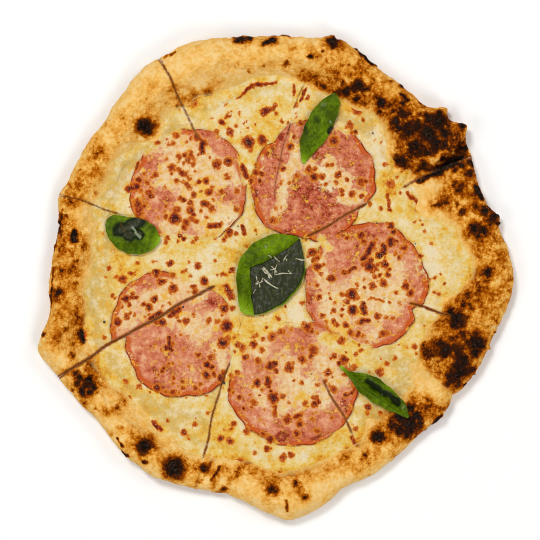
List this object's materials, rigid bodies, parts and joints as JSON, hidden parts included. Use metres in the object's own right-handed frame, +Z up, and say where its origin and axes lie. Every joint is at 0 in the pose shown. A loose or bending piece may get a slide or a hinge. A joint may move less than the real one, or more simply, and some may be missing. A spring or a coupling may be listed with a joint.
{
  "type": "carbonara pizza",
  "caption": "Round baked pizza with a puffed, charred rim, cream and melted cheese, ham rounds and basil leaves, cut into slices that lie together.",
  "frame": {"origin": "middle of the flat underside", "axes": "+Z up out of the toppings, +X to the picture's right, +Y to the picture's top"},
  "size_m": [0.3022, 0.308, 0.0225],
  "materials": {
    "crust": "baked dough, floury, browned and charred in spots",
    "cheese": "cream and melted cheese with small browned blisters",
    "ham": "cooked ham under a thin veil of melted cheese",
    "basil": "fresh waxy leaf"
  },
  "bodies": {
    "root": {"dough_1": "crust", "cheese_1": "cheese", "dough_2": "crust", "cheese_2": "cheese", "dough_3": "crust", "cheese_3": "cheese", "dough_4": "crust", "cheese_4": "cheese", "dough_5": "crust", "cheese_5": "cheese", "dough_6": "crust", "cheese_6": "cheese", "dough_7": "crust", "cheese_7": "cheese", "dough_8": "crust", "cheese_8": "cheese", "ham_upper_left_2": "ham", "ham_upper_left_3": "ham", "ham_upper_left_4": "ham", "ham_top_8": "ham", "ham_top_1": "ham", "ham_top_2": "ham", "ham_right_8": "ham", "ham_right_7": "ham", "ham_lower_left_4": "ham", "ham_lower_left_5": "ham", "ham_bottom_6": "ham", "ham_bottom_7": "ham", "basil_left": "basil", "basil_top": "basil", "basil_centre": "basil", "basil_lower_right": "basil"}
  },
  "joints": []
}
